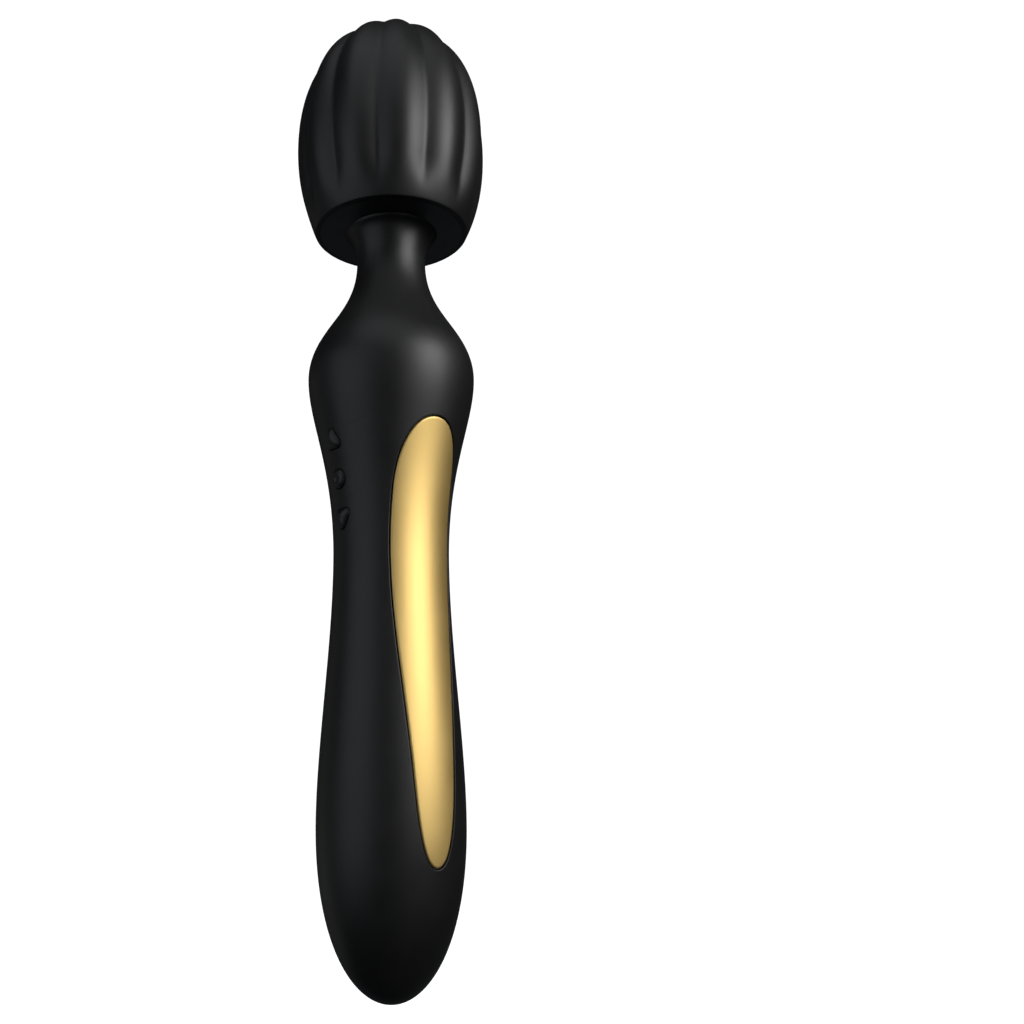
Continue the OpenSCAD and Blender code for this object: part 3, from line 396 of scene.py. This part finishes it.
def build_skin():
    """One soft skin from the lower end to the flare, with openings for inlays, keys and port."""
    sheet = Sheet()
    places, half = skin_rows()
    u = np.linspace(-1, 1, HALF_COLUMNS + 1)
    middle = HALF_COLUMNS // 2
    window = (middle - WINDOW_HALF, middle + WINDOW_HALF)
    edges = [power_z + (k - 1.5) * BUTTON_PITCH for k in range(4)]
    cuts = [int(np.argmin(abs(places[:, 1] - z))) for z in edges]

    def in_window(j, k):
        return cuts[0] <= j < cuts[3] and window[0] <= k < window[1]

    layers = []
    for depth in (0.0, SKIN_T):
        reach = (math.pi / 2 - half)[:, None] * u
        patches = []
        for aim in (-math.pi / 2, math.pi / 2):
            index = sheet.add(on_handle(aim + reach, places[:, None, :], depth))
            front = aim < 0
            sheet.grid(index, flip=depth > 0, skip=in_window if front else None)
            patches.append(index)
        layers.append(patches)

    # Edges of the two inlay pockets
    for side in (1, -1):
        loops = []
        for distance, depth in LEAF_LIP + [(LEAF_LIP[0][0], SKIN_T)]:
            loops.append(leaf_loop(sheet, side, distance, depth))
        sheet.ring(np.array(loops), flip=side < 0)

    # Keys' openings, each in its own window of the front grid
    outer, inner = layers[0][0], layers[1][0]
    flat = np.concatenate(sheet.points)
    for number, which in enumerate(BUTTONS):
        rows = (cuts[number], cuts[number + 1])
        rim = window_loop(outer, rows, window)
        rim_x, rim_z = flat[rim][:, 0], flat[rim][:, 2]
        z0 = button_mid[which]
        bearing = np.arctan2(rim_z - z0, rim_x)
        reach = button_reach(which, bearing)
        edge = reach + KEY_LIP[0][0]
        loops = [rim]
        for share in WINDOW_RINGS:
            x = edge * np.cos(bearing)
            z = z0 + edge * np.sin(bearing)
            x, z = x + share * (rim_x - x), z + share * (rim_z - z)
            loops.append(sheet.add(on_front(x, z, np.zeros_like(x))))
        for distance, depth in KEY_LIP[1:]:
            x = (reach + distance) * np.cos(bearing)
            z = z0 + (reach + distance) * np.sin(bearing)
            loops.append(sheet.add(on_front(x, z, np.full_like(x, depth))))
        x = edge * np.cos(bearing)
        z = z0 + edge * np.sin(bearing)
        loops.append(sheet.add(on_front(x, z, np.full_like(x, SKIN_T))))
        loops.append(window_loop(inner, rows, window))
        sheet.ring(np.array(loops))

    # Edge of the charging port
    around = np.linspace(0, 2 * math.pi, 2 * HALF_COLUMNS + 1)[:-1]
    loops = []
    for distance, depth in [(PORT_EDGE, SKIN_T)] + PORT_LIP:
        spot = handle.at_length(skin_start - PORT_EDGE + distance)
        loops.append(sheet.add(on_handle(around, spot, np.full_like(around, depth))))
    sheet.ring(np.array(loops))

    # Upper edge, against the head
    end = handle.at_length(handle.length[-1])
    loops = [sheet.add(on_handle(around, end, np.full_like(around, depth)))
             for depth in (0.0, SKIN_T)]
    sheet.ring(np.array(loops))
    return sheet.make("soft_skin")


# ---------------------------------------------------------------- inlays

#   (distance outside the inlay's edge, depth below the skin's surface)
INLAY_EDGE = [(0.0, 1.35), (0.0, 0.5), (-0.04, 0.38), (-0.15, 0.27), (-0.28, 0.18), (-0.4, 0.14),
              (-0.55, 0.13)]
FACE_COLUMNS = 20


def build_inlay(name, side):
    """A leaf that follows the handle's surface, with a narrow bevel round its face."""
    sheet = Sheet()
    loops = [leaf_loop(sheet, side, distance, depth) for distance, depth in INLAY_EDGE]
    sheet.ring(np.array(loops))
    for distance, depth in (INLAY_EDGE[0], INLAY_EDGE[-1]):
        y, z = leaf_ring(distance)
        across = y[:, None] * np.linspace(-1, 1, FACE_COLUMNS + 1)
        tall = np.broadcast_to(z[:, None], across.shape)
        spots = handle.at_height(tall)
        points = on_handle(side_angle(across, tall), spots, np.full_like(tall, depth))
        sheet.grid(sheet.add(points * (side, 1, 1)))
    return sheet.make(name, sharp=60)


# ---------------------------------------------------------------- head

RIM_Z = cap_low.z
POLE_Z = cap_high.z
BELLY_R = cap_high.x
RIM_R = 22.3
BELLY_Z = RIM_Z + 26.8
CAP_T = 2.6
RIM_W = 1.2
COVER_T = 1.0
LIP_H = 1.0
LIP_W = 0.8
GROOVES = 12
GROOVE_DEPTH = 1.5
GROOVE_ROUND = 0.1
GROOVE_START = 0.5
GROOVE_RISE = 12
GROOVE_FULL_R = 23
RIM_ROUND = 0.35
# Where the head's curves leave its rim, its widest ring and its crown, as shares of their stretch
RIM_LEAN = 0.49
RIM_FULL = 0.265
BELLY_LOW_FULL = 0.404
BELLY_HIGH_FULL = 0.574
CROWN_FULL = 0.668
HEAD_CURVE_STEPS = 500
HEAD_ROWS = 96
INSIDE_ROWS = 26
HEAD_COLUMNS = GROOVES * 20


def head_outline():
    low_h = BELLY_Z - RIM_Z
    high_h = POLE_Z - BELLY_Z
    return Outline(joined(
        bezier((RIM_R, RIM_Z), (RIM_R + RIM_LEAN * RIM_FULL * low_h, RIM_Z + RIM_FULL * low_h),
               (BELLY_R, BELLY_Z - BELLY_LOW_FULL * low_h), (BELLY_R, BELLY_Z),
               HEAD_CURVE_STEPS),
        bezier((BELLY_R, BELLY_Z), (BELLY_R, BELLY_Z + BELLY_HIGH_FULL * high_h),
               (CROWN_FULL * BELLY_R, POLE_Z), (0, POLE_Z), HEAD_CURVE_STEPS),
    ))


def groove_share(angle):
    """One at a groove's bottom and nought on a rib: convex lobes that meet in soft creases."""
    lobe = np.sin(GROOVES * (angle - math.pi / 2) / 2 + math.pi / 2)
    full = math.hypot(1, GROOVE_ROUND) - GROOVE_ROUND
    return 1 - (np.hypot(lobe, GROOVE_ROUND) - GROOVE_ROUND) / full


def smooth_step(t):
    t = np.clip(t, 0, 1)
    return t * t * (3 - 2 * t)


def build_head_cap():
    """The fluted silicone cap: ribs and grooves outside, a rolled rim, and a plain inside."""
    sheet = Sheet()
    line = head_outline()
    around = np.linspace(0, 2 * math.pi, HEAD_COLUMNS + 1)[:-1]
    share = groove_share(around)
    total = line.length[-1]
    rows = line.at_length(np.linspace(RIM_ROUND, total - 0.6, HEAD_ROWS))
    risen = smooth_step((rows[:, 1] - RIM_Z - GROOVE_START) / GROOVE_RISE)
    depth = GROOVE_DEPTH * risen * smooth_step(rows[:, 0] / GROOVE_FULL_R)
    loops = []
    # Underside lip, then the rolled rim, then the ribs
    inner = line.points - CAP_T * line.normals
    lip_top = RIM_Z + COVER_T + LIP_H
    inner_r = np.interp(lip_top, inner[:, 1], inner[:, 0])
    lip_r = inner_r - LIP_W
    cover_r = RIM_R - RIM_W
    start = rows[0]
    centre = (start[0] - RIM_ROUND * start[2], start[1] - RIM_ROUND * start[3])
    rolled = [
        (centre[0] + RIM_ROUND * math.cos(a), centre[1] + RIM_ROUND * math.sin(a))
        for a in np.radians(np.linspace(-90, math.degrees(math.atan2(start[3], start[2])), 7)[:-1])
    ]
    edge = [(inner_r, lip_top), (lip_r, lip_top), (lip_r, RIM_Z + COVER_T),
            (cover_r, RIM_Z + COVER_T), (cover_r, RIM_Z + 0.12), (cover_r + 0.03, RIM_Z + 0.04),
            (cover_r + 0.12, RIM_Z)]
    for r, z in edge + rolled:
        loops.append(circle(sheet, around, r, max(z, RIM_Z)))
    for row, cut in zip(rows, depth):
        loops.append(circle(sheet, around, row[0] - cut * share, row[1]))
    pole = sheet.add(np.array([0, 0, POLE_Z]))
    sheet.ring(np.array(loops))
    sheet.fan(loops[-1], pole)
    inside = [loops[0]]
    for s in np.linspace(2.2, total - 1.2, INSIDE_ROWS):
        r, z, nr, nz = line.at_length(s)
        r, z = r - CAP_T * nr, z - CAP_T * nz
        if z > lip_top + 0.3 and r > 1:
            inside.append(circle(sheet, around, r, z))
    top = sheet.add(np.array([0, 0, POLE_Z - CAP_T]))
    sheet.ring(np.array(inside), flip=True)
    sheet.fan(inside[-1], top, flip=True)
    return sheet.make("fluted_head", sharp=50)


# ---------------------------------------------------------------- materials

class Nodes:
    """A short way to add and link shader nodes."""

    def __init__(self, name):
        self.material = bpy.data.materials.new(name)
        self.material.use_nodes = True
        self.tree = self.material.node_tree
        self.tree.nodes.clear()
        self.shader = self.add("ShaderNodeBsdfPrincipled")
        out = self.add("ShaderNodeOutputMaterial")
        self.link(self.shader.outputs[0], out.inputs["Surface"])
        self.coords = self.add("ShaderNodeTexCoord").outputs["Object"]

    def add(self, kind, **settings):
        node = self.tree.nodes.new(kind)
        for key, value in settings.items():
            setattr(node, key, value)
        return node

    def link(self, a, b):
        self.tree.links.new(a, b)

    def noise(self, scale, detail=3.0, stretch=(1, 1, 1), seed=0.0):
        """Noise with features of about 1/scale metres, drawn out along an axis by stretch."""
        place = self.add("ShaderNodeMapping")
        place.inputs["Scale"].default_value = [scale / s for s in stretch]
        place.inputs["Location"].default_value = (seed, seed * 0.7, seed * 1.3)
        self.link(self.coords, place.inputs["Vector"])
        node = self.add("ShaderNodeTexNoise")
        node.inputs["Scale"].default_value = 1.0
        node.inputs["Detail"].default_value = detail
        self.link(place.outputs[0], node.inputs["Vector"])
        return node.outputs["Fac"]

    def spread(self, value, low, high, to_low, to_high):
        node = self.add("ShaderNodeMapRange")
        keys = ("From Min", "From Max", "To Min", "To Max")
        for key, number in zip(keys, (low, high, to_low, to_high)):
            node.inputs[key].default_value = number
        self.link(value, node.inputs["Value"])
        return node.outputs["Result"]

    def mix(self, factor, a, b):
        """Mixes two colours by a factor; either colour may be a tuple or another node's output."""
        node = self.add("ShaderNodeMix", data_type="RGBA")
        self.link(factor, node.inputs["Factor"])
        for key, colour in (("A", a), ("B", b)):
            socket = [s for s in node.inputs if s.name == key and s.type == "RGBA"][0]
            if isinstance(colour, tuple):
                socket.default_value = (*colour, 1)
            else:
                self.link(colour, socket)
        return [s for s in node.outputs if s.type == "RGBA"][0]

    def plus(self, a, b):
        node = self.add("ShaderNodeMath", operation="ADD")
        self.link(a, node.inputs[0])
        self.link(b, node.inputs[1])
        return node.outputs[0]

    def bumps(self, layers):
        """Chains bumps, each (height output, strength, distance in metres)."""
        normal = None
        for height, strength, distance in layers:
            node = self.add("ShaderNodeBump")
            node.inputs["Strength"].default_value = strength
            node.inputs["Distance"].default_value = distance
            self.link(height, node.inputs["Height"])
            if normal is not None:
                self.link(normal, node.inputs["Normal"])
            normal = node.outputs["Normal"]
        self.link(normal, self.shader.inputs["Normal"])

    def edges(self, start=0.52, full=0.62):
        """One on convex edges, nought elsewhere."""
        point = self.add("ShaderNodeNewGeometry").outputs["Pointiness"]
        return self.spread(point, start, full, 0, 1)


def finish_material(name, colour, second, rough, swing, metallic=0.0, grain=2500,
                    grain_height=0.000004, stretch=(1, 1, 1), cloud=120, worn=None, **constants):
    """A surface whose colour, roughness and grain vary; worn is the colour of its rubbed edges."""
    made = Nodes(name)
    clouds = made.noise(cloud, 4, seed=1.7)
    fine = made.noise(grain, 4, stretch, seed=4.1)
    tone = made.mix(made.spread(clouds, 0.35, 0.65, 0, 1), colour, second)
    if worn is not None:
        tone = made.mix(made.edges(), tone, worn)
    made.link(tone, made.shader.inputs["Base Color"])
    vary = made.plus(
        made.spread(clouds, 0.3, 0.7, rough - swing, rough + swing),
        made.spread(fine, 0.3, 0.7, -0.35 * swing, 0.35 * swing),
    )
    made.link(vary, made.shader.inputs["Roughness"])
    made.bumps([(fine, 0.6, grain_height), (clouds, 0.25, grain_height)])
    made.shader.inputs["Metallic"].default_value = metallic
    for key, value in constants.items():
        made.shader.inputs[key.replace("_", " ")].default_value = value
    return made.material


ALONG = (1, 1, 30)
materials = {
    "silicone": finish_material(
        "silicone", (0.0045, 0.0045, 0.0047), (0.006, 0.006, 0.0062), 0.46, 0.025,
        grain=5200, grain_height=0.0000022, cloud=90, worn=(0.009, 0.009, 0.0093),
        Specular_IOR_Level=0.55),
    "button_silicone": finish_material(
        "button_silicone", (0.0045, 0.0045, 0.0047), (0.006, 0.006, 0.0062), 0.44, 0.03,
        grain=6000, grain_height=0.000002, cloud=400, worn=(0.01, 0.01, 0.0105),
        Specular_IOR_Level=0.55),
    "base_plastic": finish_material(
        "base_plastic", (0.011, 0.012, 0.0148), (0.013, 0.014, 0.017), 0.42, 0.04,
        grain=3800, grain_height=0.000003, cloud=150, Specular_IOR_Level=0.7),
    "shell_plastic": finish_material(
        "shell_plastic", (0.045, 0.046, 0.05), (0.06, 0.061, 0.065), 0.55, 0.06,
        grain=2600, grain_height=0.000006, worn=(0.09, 0.09, 0.095)),
    "gold_trim": finish_material(
        "gold_trim", (0.84, 0.6, 0.222), (0.88, 0.635, 0.243), 0.53, 0.02, metallic=1.0,
        grain=5200, grain_height=0.000001, stretch=ALONG, cloud=60, worn=(0.98, 0.86, 0.5)),
    "white_plastic": finish_material(
        "white_plastic", (0.66, 0.64, 0.58), (0.6, 0.58, 0.52), 0.48, 0.06,
        worn=(0.74, 0.72, 0.68)),
    "grey_plastic": finish_material(
        "grey_plastic", (0.42, 0.42, 0.4), (0.36, 0.36, 0.34), 0.5, 0.06, worn=(0.5, 0.5, 0.48)),
    "damper_rubber": finish_material(
        "damper_rubber", (0.02, 0.02, 0.021), (0.03, 0.03, 0.031), 0.75, 0.08, grain=3200,
        grain_height=0.00001),
    "foam": finish_material(
        "foam", (0.05, 0.05, 0.055), (0.075, 0.075, 0.08), 0.9, 0.06, grain=3600,
        grain_height=0.00006),
    "zinc_steel": finish_material(
        "zinc_steel", (0.55, 0.56, 0.57), (0.62, 0.62, 0.6), 0.34, 0.08, metallic=1.0, grain=1800,
        worn=(0.75, 0.75, 0.76)),
    "screw_steel": finish_material(
        "screw_steel", (0.5, 0.5, 0.5), (0.58, 0.57, 0.55), 0.3, 0.08, metallic=1.0, grain=4000,
        worn=(0.75, 0.75, 0.74)),
    "shaft_steel": finish_material(
        "shaft_steel", (0.6, 0.6, 0.61), (0.66, 0.66, 0.66), 0.2, 0.05, metallic=1.0, grain=6000,
        stretch=(30, 30, 1)),
    "spring_steel": finish_material(
        "spring_steel", (0.4, 0.4, 0.41), (0.48, 0.47, 0.45), 0.32, 0.08, metallic=1.0, grain=5000,
        worn=(0.6, 0.6, 0.6)),
    "weight_steel": finish_material(
        "weight_steel", (0.42, 0.41, 0.4), (0.5, 0.49, 0.47), 0.38, 0.08, metallic=1.0, grain=2200,
        worn=(0.68, 0.67, 0.65)),
    "magnet": finish_material(
        "magnet", (0.06, 0.058, 0.056), (0.085, 0.08, 0.078), 0.62, 0.08, grain=3400,
        grain_height=0.00001),
    "bronze": finish_material(
        "bronze", (0.46, 0.27, 0.12), (0.54, 0.34, 0.16), 0.42, 0.08, metallic=1.0, grain=5200),
    "winding_copper": finish_material(
        "winding_copper", (0.62, 0.24, 0.1), (0.72, 0.32, 0.14), 0.36, 0.08, metallic=1.0,
        grain=2600, grain_height=0.00004, stretch=(12, 12, 1)),
    "board_green": finish_material(
        "board_green", (0.01, 0.10, 0.045), (0.014, 0.135, 0.06), 0.34, 0.06, grain=1600,
        worn=(0.3, 0.28, 0.14), Coat_Weight=0.3),
    "black_plastic": finish_material(
        "black_plastic", (0.014, 0.014, 0.015), (0.022, 0.022, 0.023), 0.5, 0.07, grain=3800,
        worn=(0.05, 0.05, 0.05)),
    "cell_wrap": finish_material(
        "cell_wrap", (0.03, 0.09, 0.3), (0.04, 0.115, 0.36), 0.3, 0.06, grain=700,
        grain_height=0.00003),
    "nickel": finish_material(
        "nickel", (0.6, 0.57, 0.5), (0.66, 0.63, 0.57), 0.26, 0.07, metallic=1.0, grain=3000,
        worn=(0.8, 0.78, 0.74)),
    "red_wire": finish_material(
        "red_wire", (0.5, 0.02, 0.015), (0.4, 0.015, 0.012), 0.42, 0.07, grain=5200),
    "black_wire": finish_material(
        "black_wire", (0.015, 0.015, 0.016), (0.025, 0.025, 0.026), 0.42, 0.07, grain=5200),
}


def dress(piece, slot):
    piece.data.materials.clear()
    piece.data.materials.append(materials[slot])


for part in frame["record"]["subparts"]:
    dress(frame["nodes"][part["node"]], part["material_slot"])

# ---------------------------------------------------------------- pieces on the frame


def place(piece, slot, body, *replaced):
    dress(piece, slot)
    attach(piece, body)
    if replaced:
        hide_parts(*replaced)
    return piece


place(build_head_cap(), "silicone", "head", "head_cap")
place(build_inlay("gold_leaf_right", 1), "gold_trim", "handle", "inlay_right")
place(build_inlay("gold_leaf_left", -1), "gold_trim", "handle", "inlay_left")
for which in BUTTONS:
    place(button_dome(which), "button_silicone", f"button_{which}", f"button_{which}_cap")

skin = build_skin()
dress(skin, "silicone")
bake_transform(skin)
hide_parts("handle_skin", "neck_sleeve")

# ---------------------------------------------------------------- floor, light and camera

FLOOR_Z = -0.32
FLOOR_EDGE_R = 2400
FLOOR_BEND_R = 900


def build_floor():
    """A wide pale floor whose edge curves up into a wall all round."""
    sheet = Sheet()
    around = np.linspace(0, 2 * math.pi, 97)[:-1]
    wall_r = FLOOR_EDGE_R + FLOOR_BEND_R
    profile = [(600, 0), (1500, 0), (FLOOR_EDGE_R, 0)]
    for a in np.radians(np.arange(10, 91, 10)):
        bend_z = FLOOR_BEND_R - FLOOR_BEND_R * math.cos(a)
        profile.append((FLOOR_EDGE_R + FLOOR_BEND_R * math.sin(a), bend_z))
    profile += [(wall_r, 2500), (wall_r, 4500)]
    loops = [circle(sheet, around, r, z + FLOOR_Z / MM) for r, z in profile]
    sheet.ring(np.array(loops))
    sheet.fan(loops[0], sheet.add(np.array([0, 0, FLOOR_Z / MM])))
    floor = sheet.make("studio_floor")
    paint = Nodes("floor_paint")
    soft = paint.noise(1.4, 2)
    grey = paint.mix(soft, (0.93, 0.93, 0.93), (0.95, 0.95, 0.95))
    paint.link(grey, paint.shader.inputs["Base Color"])
    glow = paint.mix(soft, (0.98, 0.98, 0.98), (1.0, 1.0, 1.0))
    paint.link(glow, paint.shader.inputs["Emission Color"])
    paint.shader.inputs["Emission Strength"].default_value = 1.04
    paint.shader.inputs["Roughness"].default_value = 0.9
    floor.data.materials.append(paint.material)
    floor.visible_glossy = False
    floor.visible_diffuse = False


def bearing_to(azimuth, elevation):
    """Direction from the object to a viewer at a bearing in degrees; azimuth 0 is the -Y side."""
    a, e = math.radians(azimuth), math.radians(elevation)
    return Vector((math.sin(a) * math.cos(e), -math.cos(a) * math.cos(e), math.sin(e)))


def softbox(name, azimuth, elevation, distance, size, power, colour, target):
    """A rectangular soft light at a bearing from the object, facing a point on its axis."""
    data = bpy.data.lights.new(name, "AREA")
    data.shape = "RECTANGLE"
    data.size, data.size_y = size
    data.energy = power
    data.color = colour
    lamp = bpy.data.objects.new(name, data)
    bpy.context.scene.collection.objects.link(lamp)
    toward = bearing_to(azimuth, elevation)
    lamp.location = Vector((0, 0, target)) + distance * toward
    lamp.rotation_mode = "QUATERNION"
    lamp.rotation_quaternion = toward.to_track_quat("Z", "Y")
    lamp.visible_camera = False


CAMERA_AZIMUTH = 53.3
CAMERA_ELEVATION = -11.5
CAMERA_DISTANCE = 0.253
TARGET_Z = 0.0138

build_floor()
softbox("key", CAMERA_AZIMUTH + 55, 22, 1.2, (0.76, 0.8), 11.6, (1.0, 1.0, 1.0), 0.05)
softbox("side", CAMERA_AZIMUTH + 66, 4, 1.2, (0.7, 0.45), 0.12, (1.0, 1.0, 1.0), 0.0)
softbox("band", CAMERA_AZIMUTH + 27, -2, 1.2, (0.26, 0.45), 0.46, (1.0, 1.0, 1.0), 0.0)
softbox("fill", CAMERA_AZIMUTH - 56, 5, 1.2, (1.3, 1.3), 3.4, (0.88, 0.94, 1.0), 0.0)
softbox("top", CAMERA_AZIMUTH - 20, 62, 1.2, (1.2, 1.0), 2.2, (0.94, 0.97, 1.0), 0.08)
softbox("back", CAMERA_AZIMUTH - 125, 0, 1.5, (0.8, 1.2), 0.3, (1.0, 1.0, 1.0), 0.0)
softbox("rear_left", CAMERA_AZIMUTH - 120, -28, 1.2, (0.6, 0.6), 0.16, (1.0, 1.0, 1.0), 0.02)
softbox("under", CAMERA_AZIMUTH + 180, -36, 1.2, (1.3, 1.1), 0.17, (0.84, 0.92, 1.0), 0.09)

# The air is white to the camera and dim to everything else
world = bpy.data.worlds.new("studio_air")
bpy.context.scene.world = world
world.use_nodes = True
tree = world.node_tree
tree.nodes.clear()
path = tree.nodes.new("ShaderNodeLightPath")
seen = tree.nodes.new("ShaderNodeBackground")
seen.inputs["Color"].default_value = (1, 1, 1, 1)
dim = tree.nodes.new("ShaderNodeBackground")
dim.inputs["Color"].default_value = (0.016, 0.0165, 0.018, 1)
pick = tree.nodes.new("ShaderNodeMixShader")
out = tree.nodes.new("ShaderNodeOutputWorld")
tree.links.new(path.outputs["Is Camera Ray"], pick.inputs[0])
tree.links.new(dim.outputs[0], pick.inputs[1])
tree.links.new(seen.outputs[0], pick.inputs[2])
tree.links.new(pick.outputs[0], out.inputs[0])

lens = bpy.data.cameras.new("camera")
lens.lens = 32
lens.sensor_width = 36
lens.shift_x = 0.118
lens.clip_start = 0.01
lens.clip_end = 20
camera = bpy.data.objects.new("camera", lens)
bpy.context.scene.collection.objects.link(camera)
back = bearing_to(CAMERA_AZIMUTH, CAMERA_ELEVATION)
camera.location = Vector((0, 0, TARGET_Z)) + CAMERA_DISTANCE * back
camera.rotation_mode = "QUATERNION"
camera.rotation_quaternion = back.to_track_quat("Z", "Y")
bpy.context.scene.camera = camera
bpy.context.scene.view_settings.view_transform = "Standard"
